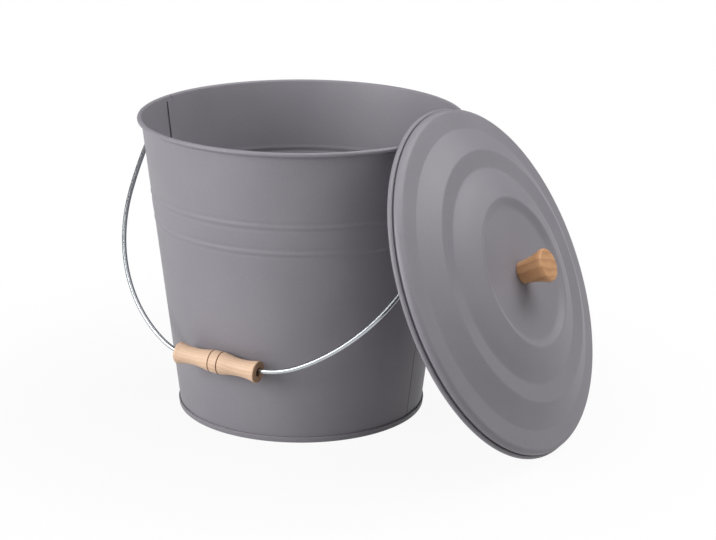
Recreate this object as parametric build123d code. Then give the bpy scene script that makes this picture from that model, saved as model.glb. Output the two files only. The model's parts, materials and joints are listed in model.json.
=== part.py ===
from build123d import *
import math
import os

os.makedirs("parts", exist_ok=True)

# Pressed steel ash bucket with a wired rim, a wire bail with a turned wooden grip, and a lid that
# leans over the rim at the +X side. Millimetres, +Z up, origin at the middle of the foot ring on the
# floor. The bail's ears are on the X axis and the bail rests on the wall at the -Y side.

# Fits and gaps that several pieces share
touch = 0.05
loose = 0.3

# Bucket wall: a cone in two halves, with the outward curl round the rim wire
bucket_height = 260.0
wall_sheet = 0.6
wall_foot_radius = 107.2
wall_top_radius = 137.3
rim_bead_radius = 2.0
curl_turn = 298.0
wall_bottom = 1.0

# Ribs pressed outwards round the wall, and the shallow bulge between them
rib_heights = [172.0, 195.0]
rib_width = 5.6
rib_apex = 1.7
rib_crown_radius = 3.6
rib_foot_radius = 1.5
bulge_apex = 0.7
bulge_radius = 95.0

# Lap seams between the two halves
seam_angle = -2.5
seam_lap_angle = 3.4
seam_joggle_angle = 1.0
seam_line_angle = 0.2
seam_below_curl = 7.0

# Bottom: a recessed disc, its leg inside the wall and the hem that grips the wall's lower edge
bottom_sheet = 0.6
bottom_recess = 6.4
hem_width = 1.75
hem_height = 6.8
hem_corner = 0.8
bottom_corner = 2.0
bottom_ring_radius = 62.0
bottom_ring_width = 16.0
bottom_ring_height = 1.6

# Ears for the bail, each a saddle of thicker sheet with a raised bridge and two riveted flanges
pivot_below_bead = 11.8
ear_sheet = 1.2
ear_bridge_clear = 3.0
ear_below_pivot = 7.2
ear_above_pivot = 6.2
ear_bridge_half_angle = 3.5
ear_flange_half_angle = 8.6
ear_edge_radius = 3.0

# Rivets that hold each ear, on either side of its bridge
rivet_angle = 6.2
rivet_radius = 1.6
rivet_head_radius = 3.1
rivet_head_height = 1.3
rivet_tail_radius = 2.6
rivet_tail_height = 0.9

# Bail wire: straight under the grip, then three arcs on each side up to the ear
bail_wire_radius = 2.0
bail_depth = 215.7
bail_straight_half = 28.4
bail_corner_radius = 81.0
bail_corner_turn = 29.9
bail_shoulder_radius = 157.0
bail_shoulder_turn = 56.7
bail_hook_radius = 3.5
bail_head_radius = 3.0
bail_head_length = 1.2
bail_head_place = 1.25

# Turned wooden grip, slid along the wire to the -X side
grip_left = -52.6
grip_right = 31.0
grip_belly_radius = 9.7
grip_neck_radius = 7.25
grip_neck_place = 28.5
grip_belly_curve = 85.0
grip_end_round = 0.8
grip_groove_places = [-5.0, 3.6]
grip_groove_width = 0.9
grip_groove_depth = 0.5

# Lid: its rolled edge stands out past the rim bead all round
lid_sheet = 0.6
lid_overhang = 10.6
lid_bead_radius = 2.06
lid_curl_turn = 280.0

# Lid profile on its outer face: distance in from the edge bead's middle, and height above it
lid_neck = (4.3, 2.9)
lid_shoulder = (0.0, 9.7)
lid_rim_valley = (19.1, 11.8)
lid_rim_crest = (40.7, 21.9)
lid_middle_valley = (56.3, 21.3)
lid_slope_bulge = (70.3, 27.3)
lid_crown = (84.8, 31.8)
lid_disc = (92.3, 28.1)
lid_neck_radius = 1.2
lid_shoulder_radius = 3.5
lid_press_radius = 2.6
lid_slope_radius = 60.0

# How the lid leans: tilt of its axis above the floor
lid_lean = 24.7

# Turned wooden knob on the lid, held from below by a screw and a washer
knob_height = 26.3
knob_base_radius = 8.5
knob_waist_radius = 8.1
knob_waist_height = 5.0
knob_top_radius = 14.0
knob_flare_height = 21.0
knob_bend = (9.9, 14.5)
knob_top_round = 1.6
screw_radius = 2.0
screw_length = 18.0
screw_head_radius = 4.0
screw_head_height = 2.2
screw_slot_width = 1.0
screw_slot_depth = 1.0
washer_radius = 7.0
washer_height = 1.0

# Worked out from the sizes above
bead_height = bucket_height - rim_bead_radius
wall_slope = math.atan((wall_top_radius - wall_foot_radius) / bead_height)
slope_cos = math.cos(wall_slope)
slope_sin = math.sin(wall_slope)
pivot_height = bead_height - pivot_below_bead
ear_bottom = pivot_height - ear_below_pivot
ear_top = pivot_height + ear_above_pivot
rim_wire_radius = rim_bead_radius - wall_sheet - touch
lap_step = wall_sheet + touch


def wall_radius(height):
    """Outer radius of the plain cone at a height."""
    return wall_foot_radius + height * math.tan(wall_slope)


def rounded_edges(points, radii):
    """Straight runs through the points, with each inner corner rounded to its own radius."""
    edges = []
    start = Vector(*points[0])
    for before, here, after, radius in zip(points, points[1:], points[2:], radii):
        corner = Vector(*here)
        into = (corner - Vector(*before)).normalized()
        out = (Vector(*after) - corner).normalized()
        turn = math.radians(into.get_angle(out))
        if radius == 0 or turn < 1e-6:
            edges.append(Line(start, corner))
            start = corner
            continue
        cut = radius * math.tan(turn / 2)
        sag = radius * (1 / math.cos(turn / 2) - 1)
        first = corner - into * cut
        last = corner + out * cut
        edges.append(Line(start, first))
        edges.append(ThreePointArc(first, corner + (out - into).normalized() * sag, last))
        start = last
    edges.append(Line(start, Vector(*points[-1])))
    return edges


def moved_line(points, radii, distance):
    """The line moved sideways to the left of its run, with the corner radii that keep it parallel."""
    places = [Vector(*point) for point in points]
    runs = [(b - a).normalized() for a, b in zip(places, places[1:])]
    lefts = [Vector(-run.Y, run.X) for run in runs]
    moved = [places[0] + lefts[0] * distance]
    new_radii = []
    for corner, left, next_left, radius in zip(places[1:], lefts, lefts[1:], radii):
        moved.append(corner + (left + next_left) * (distance / (1 + left.dot(next_left))))
        turns_left = left.cross(next_left).Z > 0
        new_radii.append(max(radius - distance if turns_left else radius + distance, 0))
    moved.append(places[-1] + lefts[-1] * distance)
    return moved, new_radii


def sheet_face(points, radii, near, far):
    """The face between a line moved left by near and the same line moved left by far."""
    near_line, near_radii = moved_line(points, radii, near)
    far_line, far_radii = moved_line(points, radii, far)
    edges = rounded_edges(near_line, near_radii) + rounded_edges(far_line, far_radii)
    edges.append(Line(near_line[0], far_line[0]))
    edges.append(Line(near_line[-1], far_line[-1]))
    return make_face(edges)


def curled_sheet_face(points, radii, sheet, centre, outer_radius, start_angle, turn):
    """A sheet whose far end rolls into a bead round the centre.

    The line is the sheet's face on the left of its run, and it ends where it meets the bead. The bead
    turns clockwise for a negative turn, which puts the left face on the bead's outside.
    """
    outside = 0 if turn < 0 else -sheet
    inside = -sheet if turn < 0 else 0
    outer_line, outer_radii = moved_line(points, radii, outside)
    inner_line, inner_radii = moved_line(points, radii, inside)
    outer_arc = CenterArc(centre, outer_radius, start_angle, turn)
    inner_arc = CenterArc(centre, outer_radius - sheet, start_angle, turn)
    edges = rounded_edges(outer_line, outer_radii) + rounded_edges(inner_line, inner_radii)
    edges += [outer_arc, inner_arc]
    edges.append(Line(outer_line[0], inner_line[0]))
    edges.append(Line(outer_arc @ 1, inner_arc @ 1))
    return make_face(edges)


def turned(face, angle=360.0, start=0.0):
    """A face drawn as radius and height, revolved about Z from one azimuth through an angle."""
    return Rot(0, 0, start) * revolve(Plane.XZ * face, Axis.Z, angle)


def rim_bead_line_radius():
    """Radius of the circle through the middle of the rim bead."""
    return wall_radius(bead_height) + (rim_bead_radius - wall_sheet) / slope_cos


def wall_line(bottom, top):
    """Outer face of the wall from one height up to another, as points and corner radii."""

    def on_wall(height, out):
        return (wall_radius(height) + out * slope_cos, height - out * slope_sin)

    points = [on_wall(bottom, 0)]
    radii = []
    for height in rib_heights:
        points += [on_wall(height - rib_width / 2, 0), on_wall(height, rib_apex), on_wall(height + rib_width / 2, 0)]
        radii += [rib_foot_radius, rib_crown_radius, rib_foot_radius]
        if height == rib_heights[0]:
            points.append(on_wall(sum(rib_heights) / 2, bulge_apex))
            radii.append(bulge_radius)
    points.append(on_wall(top, 0))
    return points, radii


def wall_section():
    """Section of one wall half with its curled rim."""
    centre = (rim_bead_line_radius(), bead_height)
    curl_base = bead_height + (rim_bead_radius - wall_sheet) * slope_sin
    points, radii = wall_line(wall_bottom, curl_base)
    inner, inner_radii = moved_line(points, radii, wall_sheet)
    start = 180 - math.degrees(wall_slope)
    return curled_sheet_face(inner, inner_radii, wall_sheet, centre, rim_bead_radius, start, -curl_turn)


def wall_half(start, end):
    """Half of the wall from one seam to the next, with the tongue that slips under the next half."""
    shell = turned(wall_section(), end - start - seam_line_angle, start + seam_line_angle)
    points, radii = wall_line(wall_bottom, bead_height - seam_below_curl)
    tongue_section = sheet_face(points, radii, lap_step, lap_step + wall_sheet)
    joggle_section = sheet_face(points, radii, wall_sheet / 2, lap_step + wall_sheet)
    joggle = turned(joggle_section, seam_joggle_angle, end - seam_joggle_angle)
    tongue = turned(tongue_section, seam_lap_angle, end)
    return shell + joggle + tongue


def wall_halves():
    """Front and back half, each with its own lap."""
    back = wall_half(seam_angle, seam_angle + 180)
    front = wall_half(seam_angle + 180, seam_angle + 360)
    return front, back


def rim_wire():
    """Wire inside the curl."""
    section = Pos(rim_bead_line_radius(), bead_height) * Circle(rim_wire_radius)
    return turned(section)


def bottom_panel():
    """Recessed disc with a pressed ring, a leg down inside the wall and the hem outside it."""
    lean = math.tan(wall_slope)
    inside = wall_foot_radius - (wall_sheet + lap_step + touch) / slope_cos
    outside = wall_foot_radius + touch / slope_cos
    leg = bottom_sheet / slope_cos
    hem = hem_width / slope_cos
    top = bottom_recess + bottom_sheet
    ring = bottom_ring_radius
    half = bottom_ring_width / 2
    under = bottom_recess
    points = [
        (0, under),
        (ring - half, under),
        (ring - half + 3, under + bottom_ring_height),
        (ring + half - 3, under + bottom_ring_height),
        (ring + half, under),
        (inside - leg + under * lean, under),
        (inside - leg, 0),
        (outside + hem, 0),
        (outside + hem + hem_height * lean, hem_height),
        (outside + hem_height * lean, hem_height),
        (outside + (wall_bottom - touch) * lean, wall_bottom - touch),
        (inside + (wall_bottom - touch) * lean, wall_bottom - touch),
        (inside + top * lean, top),
        (ring + half + 0.2, top),
        (ring + half - 2.8, top + bottom_ring_height),
        (ring - half + 2.8, top + bottom_ring_height),
        (ring - half - 0.2, top),
        (0, top),
        (0, under),
    ]
    radii = [0, 0, 0, 0, bottom_corner, hem_corner, hem_corner, hem_corner, hem_corner]
    radii += [0, 0, bottom_corner + bottom_sheet, 0, 0, 0, 0, 0]
    return turned(make_face(rounded_edges(points, radii)))


def band(inner, outer, low, high, half_angle):
    """Piece of a cone-shaped band round azimuth 0, from one offset off the wall to another."""
    corners = [
        (wall_radius(low) + inner / slope_cos, low),
        (wall_radius(low) + outer / slope_cos, low),
        (wall_radius(high) + outer / slope_cos, high),
        (wall_radius(high) + inner / slope_cos, high),
    ]
    return turned(make_face(Polyline(*corners, close=True)), 2 * half_angle, -half_angle)


def along_wall_normal(angle):
    """Frame on the wall at the pivot's height, with its Z axis square out of the wall."""
    place = Pos(wall_radius(pivot_height), 0, pivot_height) * Rot(0, 90 + math.degrees(wall_slope), 0)
    return Rot(0, 0, angle) * place


def ear():
    """Saddle plate: two flanges on the wall, and a bridge with the hole for the bail's end."""
    flange_top = touch + ear_sheet
    bridge_under = touch + ear_bridge_clear
    bridge_top = bridge_under + ear_sheet
    leg_angle = math.degrees(ear_sheet / wall_radius(pivot_height))
    outer = band(touch, bridge_top, ear_bottom, ear_top, ear_bridge_half_angle + leg_angle)
    flanges = band(touch, flange_top, ear_bottom, ear_top, ear_flange_half_angle)
    hollow = band(0, bridge_under, ear_bottom - 1, ear_top + 1, ear_bridge_half_angle)
    plate = (outer - hollow) + (flanges - hollow)
    outside_edges = [
        edge
        for edge in plate.edges().filter_by(Axis.X, reverse=True)
        if abs(math.degrees(math.atan2(edge.center().Y, edge.center().X))) > ear_flange_half_angle - 0.05
        and edge.length < 2 * ear_sheet
    ]
    plate = fillet(outside_edges, ear_edge_radius)
    hole_reach = bridge_top + 10
    hole = Pos(wall_radius(pivot_height) + hole_reach / 2, 0, pivot_height)
    hole = hole * Rot(0, 90, 0) * Cylinder(bail_wire_radius + loose, hole_reach)
    for side in (-1, 1):
        plate -= along_wall_normal(side * rivet_angle) * Cylinder(rivet_radius + touch, 8)
    return plate - hole


def ear_rivets():
    """The two rivets of an ear, with a domed head outside and a flat tail inside the wall."""
    rivets = []
    outside = touch + ear_sheet
    inside = -wall_sheet
    for side in (-1, 1):
        shank = Pos(0, 0, (outside + inside) / 2) * Cylinder(rivet_radius, outside - inside + 0.4)
        ball_radius = (rivet_head_radius**2 + rivet_head_height**2) / (2 * rivet_head_height)
        ball = Pos(0, 0, outside + touch + rivet_head_height - ball_radius) * Sphere(ball_radius)
        above = Pos(0, 0, outside + touch + 5) * Box(20, 20, 10)
        tail_middle = inside - touch - rivet_tail_height / 2
        tail = Pos(0, 0, tail_middle) * Cylinder(rivet_tail_radius, rivet_tail_height)
        rivets.append(along_wall_normal(side * rivet_angle) * (shank + (ball & above) + tail))
    return Compound(children=rivets)


def rivet_holes():
    """Holes through the wall for all the rivets."""
    holes = []
    for ear_angle in (0, 180):
        for side in (-1, 1):
            holes.append(along_wall_normal(ear_angle + side * rivet_angle) * Cylinder(rivet_radius + touch, 8))
    return holes


def bail_half_span():
    """Distance from the middle of the bucket to the wire where it passes the ear."""
    bridge_top = touch + ear_bridge_clear + ear_sheet
    widest = wall_radius(ear_top) + bridge_top / slope_cos
    return widest + 2 * loose + bail_wire_radius


def bail_line():
    """The right half of the bail's centre line, as arcs in its own plane.

    X runs along the pivot axis and Y is the distance from it, so the grip is at Y = bail_depth.
    """
    straight = Line((0, bail_depth), (bail_straight_half, bail_depth))
    corner = JernArc(straight @ 1, (1, 0), bail_corner_radius, -bail_corner_turn)
    shoulder = JernArc(corner @ 1, corner % 1, bail_shoulder_radius, -bail_shoulder_turn)
    begin = shoulder @ 1
    heading = math.radians(bail_corner_turn + bail_shoulder_turn)
    end_heading = math.radians(90)
    for _ in range(12):
        end = Vector(bail_half_span(), bail_hook_radius * (1 + math.cos(end_heading)))
        chord = math.atan2(begin.Y - end.Y, end.X - begin.X)
        end_heading = 2 * chord - heading
    arm = TangentArc(begin, end, tangent=shoulder % 1)
    hook = JernArc(end, arm % 1, bail_hook_radius, -(180 - math.degrees(end_heading)))
    return [straight, corner, shoulder, arm, hook]


def swung(angle):
    """Place of the bail's own plane when it hangs forward of straight down by an angle."""
    return Pos(0, 0, pivot_height) * Rot(-angle, 0, 0) * Rot(-90, 0, 0)


def wire_depth(along):
    """Distance of the wire from the pivot axis at a place along the grip's stretch."""
    past = max(abs(along) - bail_straight_half, 0)
    return bail_depth - bail_corner_radius + math.sqrt(bail_corner_radius**2 - past**2)


def grip_axis():
    """Tilt, middle depth and bore radius of the grip, with the wire's bend shared to both sides."""
    slope = (wire_depth(grip_right) - wire_depth(grip_left)) / (grip_right - grip_left)
    steps = [grip_left + (grip_right - grip_left) * i / 400 for i in range(401)]
    bulge = max(wire_depth(x) - wire_depth(grip_left) - slope * (x - grip_left) for x in steps)
    middle = (grip_left + grip_right) / 2
    depth = wire_depth(grip_left) + slope * (middle - grip_left) + bulge / 2
    return slope, middle, depth, bail_wire_radius + bulge / 2 + loose


def grip_length():
    """Length of the grip along its own tilted axis."""
    slope = grip_axis()[0]
    return (grip_right - grip_left) * math.sqrt(1 + slope**2)


def grip_outline():
    """Centre and radius of the belly's and the neck's curves, and where they meet."""
    rise = grip_belly_radius - grip_neck_radius
    both = (grip_neck_place**2 + rise**2) / (2 * rise)
    neck_curve = both - grip_belly_curve
    belly_middle = grip_belly_radius - grip_belly_curve
    neck_middle = grip_neck_radius + neck_curve
    meet_x = grip_neck_place * grip_belly_curve / both
    meet_y = belly_middle + (neck_middle - belly_middle) * grip_belly_curve / both
    return neck_curve, neck_middle, meet_x, meet_y


def grip_radius(along):
    """Outer radius of the grip at a distance from its middle."""
    neck_curve, neck_middle, meet_x, _ = grip_outline()
    place = abs(along)
    if place < meet_x:
        return grip_belly_radius - grip_belly_curve + math.sqrt(grip_belly_curve**2 - place**2)
    return neck_middle - math.sqrt(neck_curve**2 - (place - grip_neck_place) ** 2)


def grip_gap(angle):
    """Smallest distance between the grip and the wall with the bail at an angle."""
    slope, middle, depth, _ = grip_axis()
    level = math.sqrt(1 + slope**2)
    smallest = 1e9
    half = grip_length() / 2
    for i in range(401):
        along = -half + 2 * half * i / 400
        x = middle + along / level
        far = depth + along * slope / level
        y = -far * math.sin(math.radians(angle))
        z = pivot_height - far * math.cos(math.radians(angle))
        gap = (math.hypot(x, y) - wall_radius(z)) * slope_cos - grip_radius(along)
        smallest = min(smallest, gap)
    return smallest


def halved(function, low, high):
    """The place between low and high where a rising function passes zero."""
    for _ in range(40):
        middle = (low + high) / 2
        if function(middle) < 0:
            low = middle
        else:
            high = middle
    return (low + high) / 2


def bail_rest_angle():
    """How far the bail swings forward of straight down when its grip rests on the wall."""
    return halved(lambda angle: grip_gap(angle) - loose, 0, 90)


def bail_wire():
    """Wire with a hook and an upset head at each end, in its rest place."""
    half = bail_line()
    hook_end = half[-1] @ 1
    head_start = wall_radius(pivot_height) + bail_head_place
    end = Vector(head_start + bail_head_length / 2, 0)
    right = Wire([piece.edge() for piece in half] + [Line(hook_end, end).edge()])
    left = mirror(right, Plane.YZ)
    solid = None
    for path in (right, left):
        start_plane = Plane(origin=path @ 0, z_dir=path % 0)
        arm = sweep(start_plane * Circle(bail_wire_radius), path=path)
        solid = arm if solid is None else solid + arm
    for side in (-1, 1):
        head = Pos(side * (head_start + bail_head_length / 2), 0, 0)
        solid += head * Rot(0, 90, 0) * Cylinder(bail_head_radius, bail_head_length)
    return swung(bail_rest_angle()) * solid


def bail_grip():
    """Turned grip: a swelling belly between two necks, two fine grooves and a bore for the wire."""
    slope, middle, depth, bore = grip_axis()
    half = grip_length() / 2
    _, _, meet_x, meet_y = grip_outline()
    end_radius = grip_radius(half - grip_end_round)
    edges = [
        ThreePointArc((-meet_x, meet_y), (0, grip_belly_radius), (meet_x, meet_y)),
    ]
    for side in (-1, 1):
        neck = (side * grip_neck_place, grip_neck_radius)
        shoulder = (side * (half - grip_end_round), end_radius)
        edges.append(ThreePointArc((side * meet_x, meet_y), neck, shoulder))
        edges.append(
            ThreePointArc(
                shoulder,
                (side * (half - grip_end_round * (1 - math.sqrt(0.5))), end_radius - grip_end_round * (1 - math.sqrt(0.5))),
                (side * half, end_radius - grip_end_round),
            )
        )
        edges.append(Line((side * half, end_radius - grip_end_round), (side * half, bore)))
    edges.append(Line((-half, bore), (half, bore)))
    body = revolve(make_face(edges), Axis.X, 360)
    for place in grip_groove_places:
        radius = grip_radius(place)
        notch = Polyline(
            (place - grip_groove_width / 2, radius + 0.1),
            (place, radius - grip_groove_depth),
            (place + grip_groove_width / 2, radius + 0.1),
            close=True,
        )
        body -= revolve(make_face(notch), Axis.X, 360)
    tilt = math.degrees(math.atan(slope))
    return swung(bail_rest_angle()) * Pos(middle, depth, 0) * Rot(0, 0, tilt) * body


def lid_bead_line_radius():
    """Radius of the circle through the middle of the lid's rolled edge."""
    return rim_bead_line_radius() + lid_overhang


def bucket_gap(x, y, z):
    """Distance from a spot near the +X side to the rim bead, the wall or the bail's end in its ear."""
    out = math.hypot(x, y)
    gap = math.hypot(out - rim_bead_line_radius(), z - bead_height) - rim_bead_radius
    if z < bead_height:
        gap = min(gap, (out - wall_radius(z)) * slope_cos)
    beside_ear = abs(math.degrees(math.atan2(y, x))) < ear_flange_half_angle
    if beside_ear and ear_bottom - lid_bead_radius < z < ear_top + lid_bead_radius:
        gap = min(gap, out - bail_half_span() - bail_wire_radius)
    return gap


def lid_gap(distance):
    """Smallest distance between the lid's rolled edge and the bucket, with the lid's middle that far out."""
    lean = math.radians(lid_lean)
    edge = lid_bead_line_radius()
    smallest = 1e9
    for half_degree in range(181):
        turn = math.radians(half_degree / 2)
        uphill = edge * math.cos(turn)
        x = distance - uphill * math.sin(lean)
        z = lid_middle_height() + uphill * math.cos(lean)
        smallest = min(smallest, bucket_gap(x, edge * math.sin(turn), z))
    return smallest - lid_bead_radius


def lid_middle_height():
    """Height of the middle of the lid's bead plane, with the bead's lowest point on the floor."""
    return lid_bead_line_radius() * math.cos(math.radians(lid_lean)) + lid_bead_radius


def lid_place():
    """Frame of the leaning lid: origin in the middle of its bead plane, Z out through the knob."""
    distance = rim_bead_line_radius() + lid_bead_line_radius()
    while lid_gap(distance - 1) > loose:
        distance -= 1
    distance = halved(lambda reach: lid_gap(reach) - loose, distance - 1, distance)
    return Pos(distance, 0, lid_middle_height()) * Rot(0, 90 - lid_lean, 0)


def lid_section():
    """Section of the pressed lid, from its centre disc out to the rolled edge."""
    edge = lid_bead_line_radius()
    inner_radius = lid_bead_radius - lid_sheet
    middle = Vector(edge, 0)
    neck = Vector(edge - lid_neck[0], lid_neck[1])
    reach = middle - neck
    slant = math.atan2(reach.Y, reach.X) - math.asin(inner_radius / reach.length)
    run = reach.length * math.cos(math.asin(inner_radius / reach.length))
    end = neck + Vector(math.cos(slant), math.sin(slant)) * run
    corners = [lid_disc, lid_crown, lid_slope_bulge, lid_middle_valley, lid_rim_crest, lid_rim_valley, lid_shoulder]
    pressed = [(edge - inset, height) for inset, height in corners]
    points = [(0, lid_disc[1])] + pressed + [neck, end]
    press = lid_press_radius
    radii = [press, press, lid_slope_radius, press, press, press, lid_shoulder_radius, lid_neck_radius]
    start = math.degrees(slant - math.pi / 2)
    return curled_sheet_face(points, radii, lid_sheet, middle, lid_bead_radius, start, lid_curl_turn)


def lid_panel():
    """Pressed lid with the hole for the knob's screw."""
    panel = turned(lid_section()) - Cylinder(screw_radius + loose, 200)
    return lid_place() * panel


def lid_knob():
    """Turned knob that flares from a slight waist up to a flat top."""
    edges = rounded_edges(
        [(0, knob_height), (knob_top_radius, knob_height), (knob_top_radius, knob_flare_height)],
        [knob_top_round],
    )
    waist = (knob_waist_radius, knob_waist_height)
    flare = (knob_top_radius, knob_flare_height)
    edges.append(ThreePointArc(flare, knob_bend, waist))
    edges.append(Line(waist, (knob_base_radius, 0)))
    edges.append(Line((knob_base_radius, 0), (0, 0)))
    edges.append(Line((0, 0), (0, knob_height)))
    body = turned(make_face(edges))
    body -= Pos(0, 0, screw_length / 2) * Cylinder(screw_radius + touch, screw_length)
    return lid_place() * Pos(0, 0, lid_disc[1] + touch) * body


def knob_washer():
    """Flat washer between the screw's head and the lid."""
    washer = Cylinder(washer_radius, washer_height) - Cylinder(screw_radius + loose, 2 * washer_height)
    return lid_place() * Pos(0, 0, lid_disc[1] - lid_sheet - touch - washer_height / 2) * washer


def knob_screw():
    """Round-headed screw with a slot, up through the lid into the knob."""
    head_top = lid_disc[1] - lid_sheet - washer_height - 2 * touch
    shank_top = lid_disc[1] + screw_length - 1
    shank = Pos(0, 0, (head_top + shank_top) / 2) * Cylinder(screw_radius, shank_top - head_top)
    ball_radius = (screw_head_radius**2 + screw_head_height**2) / (2 * screw_head_height)
    ball = Pos(0, 0, head_top - screw_head_height + ball_radius) * Sphere(ball_radius)
    below = Pos(0, 0, head_top - 5) * Box(20, 20, 10)
    slot = Pos(0, 0, head_top - screw_head_height) * Box(20, screw_slot_width, 2 * screw_slot_depth)
    return lid_place() * (shank + ((ball & below) - slot))


def save(name, shape):
    """Write one node."""
    export_step(shape, "parts/" + name + ".step")


def main():
    front, back = wall_halves()
    for hole in rivet_holes():
        front -= hole
        back -= hole
    save("wall_front", front)
    save("wall_back", back)
    save("rim_wire", rim_wire())
    save("bottom_panel", bottom_panel())
    right_ear = ear()
    right_rivets = ear_rivets()
    save("ear_right", right_ear)
    save("ear_left", Rot(0, 0, 180) * right_ear)
    save("ear_right_rivets", right_rivets)
    save("ear_left_rivets", Rot(0, 0, 180) * right_rivets)
    save("bail_wire", bail_wire())
    save("bail_grip", bail_grip())
    save("lid_panel", lid_panel())
    save("lid_knob", lid_knob())
    save("knob_washer", knob_washer())
    save("knob_screw", knob_screw())


main()
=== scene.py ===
import json
import math

import bpy
from bpy.props import FloatProperty, FloatVectorProperty, IntProperty, PointerProperty
from mathutils import Matrix, Vector


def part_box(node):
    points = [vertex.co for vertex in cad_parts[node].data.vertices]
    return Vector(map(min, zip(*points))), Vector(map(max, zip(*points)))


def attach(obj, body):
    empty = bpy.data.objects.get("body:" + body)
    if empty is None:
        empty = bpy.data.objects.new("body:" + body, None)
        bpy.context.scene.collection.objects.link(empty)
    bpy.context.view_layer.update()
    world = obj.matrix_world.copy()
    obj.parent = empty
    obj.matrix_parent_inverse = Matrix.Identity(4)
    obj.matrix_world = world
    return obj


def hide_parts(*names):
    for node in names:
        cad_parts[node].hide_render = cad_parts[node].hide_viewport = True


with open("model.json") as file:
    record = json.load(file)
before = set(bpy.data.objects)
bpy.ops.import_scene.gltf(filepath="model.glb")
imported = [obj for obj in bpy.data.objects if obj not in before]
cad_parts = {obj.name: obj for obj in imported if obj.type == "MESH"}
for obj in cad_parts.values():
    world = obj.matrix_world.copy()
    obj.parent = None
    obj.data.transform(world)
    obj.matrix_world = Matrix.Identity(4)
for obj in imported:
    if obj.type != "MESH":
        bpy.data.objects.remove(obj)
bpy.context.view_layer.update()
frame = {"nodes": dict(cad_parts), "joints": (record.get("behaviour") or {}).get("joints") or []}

bl_info = {
    "name": "Lidded Ash Bucket",
    "version": (1, 0, 0),
    "blender": (4, 5, 0),
    "location": "3D View > Sidebar > Bucket",
    "description": "Builds a painted steel ash bucket with its bail, wooden grip, lid and knob",
    "category": "Object",
}

JOINTS = {joint["name"]: joint for joint in frame["joints"]}
PIVOT = Vector(JOINTS["bail_swing"]["pos_m"])
GRIP_MIDDLE = Vector(JOINTS["grip_spin"]["pos_m"])
GRIP_AXIS = Vector(JOINTS["grip_spin"]["axis"]).normalized()
LID_AXIS = Vector(JOINTS["lid_lift"]["axis"]).normalized()
UP = Vector((0.0, 0.0, 1.0))


# Sizes and colours that a user would change


def length(name, text, value):
    """A size in metres, shown with its unit."""
    return FloatProperty(name=name, description=text, default=value, unit="LENGTH", precision=5)


def turn(name, text, degrees):
    """An angle, given in degrees and kept in radians."""
    return FloatProperty(name=name, description=text, default=math.radians(degrees), subtype="ANGLE")


def share(name, text, value):
    """A share between nought and one."""
    return FloatProperty(name=name, description=text, default=value, min=0.0, max=1.0, subtype="FACTOR")


def paint(name, text, value):
    """A colour as the shader reads it."""
    return FloatVectorProperty(name=name, description=text, default=value, size=3, subtype="COLOR", min=0, max=1)


def power(name, text, value):
    """The power of a light."""
    return FloatProperty(name=name, description=text, default=value, unit="POWER")


class BucketSizes(bpy.types.PropertyGroup):
    foot_radius: length("Foot radius", "Wall's outer radius at the floor", 0.1072)
    top_radius: length("Top radius", "Wall's outer radius at the rim bead's middle", 0.1373)
    height: length("Height", "From the floor to the top of the rim bead", 0.260)
    sheet: length("Sheet", "Thickness of the wall", 0.0006)
    bead: length("Rim bead", "Outer radius of the curled rim", 0.0020)
    curl: turn("Curl", "How far the rim is rolled round", 298)
    lower_rib: length("Lower rib", "Height of the lower pressed rib", 0.172)
    upper_rib: length("Upper rib", "Height of the upper pressed rib", 0.195)
    rib_pitch: length("Rib pitch", "From the groove above a rib to the groove below it", 0.0072)
    rib_height: length("Rib height", "How far a rib stands out", 0.00042)
    bulge: length("Bulge", "How far the band between the ribs swells", 0.00035)
    seam: turn("Seam", "Azimuth of the right lap seam", -2.5)
    seam_line: turn("Seam line", "Width of the open line at a seam", 0.42)
    seam_depth: length("Seam depth", "How far the tongue lies under the open line", 0.0011)
    seam_lap: turn("Seam lap", "Width of the tongue under a seam", 3.4)
    tongue_hold: turn("Tongue hold", "How far a tongue starts under its own half's edge", 0.8)
    tongue_drop: length("Tongue drop", "From the rim bead's middle down to a tongue", 0.0025)
    steps: IntProperty(name="Steps", description="Faces round half the wall", default=120, min=24)
    recess: length("Recess", "Height of the bottom's lower face", 0.0064)
    recess_corner: length("Recess corner", "Roundness inside the foot", 0.0020)
    hem: length("Hem", "How far the foot's hem stands out from the wall", 0.00145)
    hem_height: length("Hem height", "Height of the foot's hem", 0.0049)
    hem_corner: length("Hem corner", "Roundness of the hem's edges", 0.00065)
    ring: length("Bottom ring", "Radius of the pressed ring in the bottom", 0.062)
    ring_width: length("Ring width", "Width of the pressed ring", 0.016)
    ring_height: length("Ring height", "Height of the pressed ring", 0.0016)
    ring_slope: length("Ring slope", "Width of the pressed ring's sloping sides", 0.003)
    seat: length("Seat", "Gap between two sheets that are pressed together", 0.00005)


class RivetSizes(bpy.types.PropertyGroup):
    spread: turn("Spread", "From the middle of an ear to a rivet, round the bucket", 6.2)
    head: length("Head", "Radius of a rivet's domed head", 0.0031)
    head_height: length("Head height", "Height of a rivet's domed head", 0.0013)
    shank: length("Shank", "Radius of a rivet's shank", 0.0016)
    seat: length("Seat", "From the wall's outer face to under a head", 0.0013)
    flush: length("Flush", "From the wall's outer face in to the flush end of a rivet", 0.0005)


class LidSizes(bpy.types.PropertyGroup):
    bead_line: length("Edge radius", "Radius of the circle through the rolled edge", 0.14931)
    bead: length("Edge bead", "Outer radius of the rolled edge", 0.00206)
    sheet: length("Sheet", "Thickness of the lid", 0.0006)
    curl: turn("Curl", "How far the edge is rolled round", 280)
    lean: turn("Lean", "Tilt of the lid's axis above the floor", 24.7)
    screw_hole: length("Screw hole", "Radius of the hole under the knob", 0.0023)
    press: length("Press radius", "Roundness of the pressed steps", 0.0042)
    slope_press: length("Slope roundness", "Roundness of the long slope", 0.060)
    shoulder: length("Shoulder radius", "Roundness of the shoulder over the rolled edge", 0.0052)
    steps: IntProperty(name="Steps", description="Faces round the lid", default=240, min=48)


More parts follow.
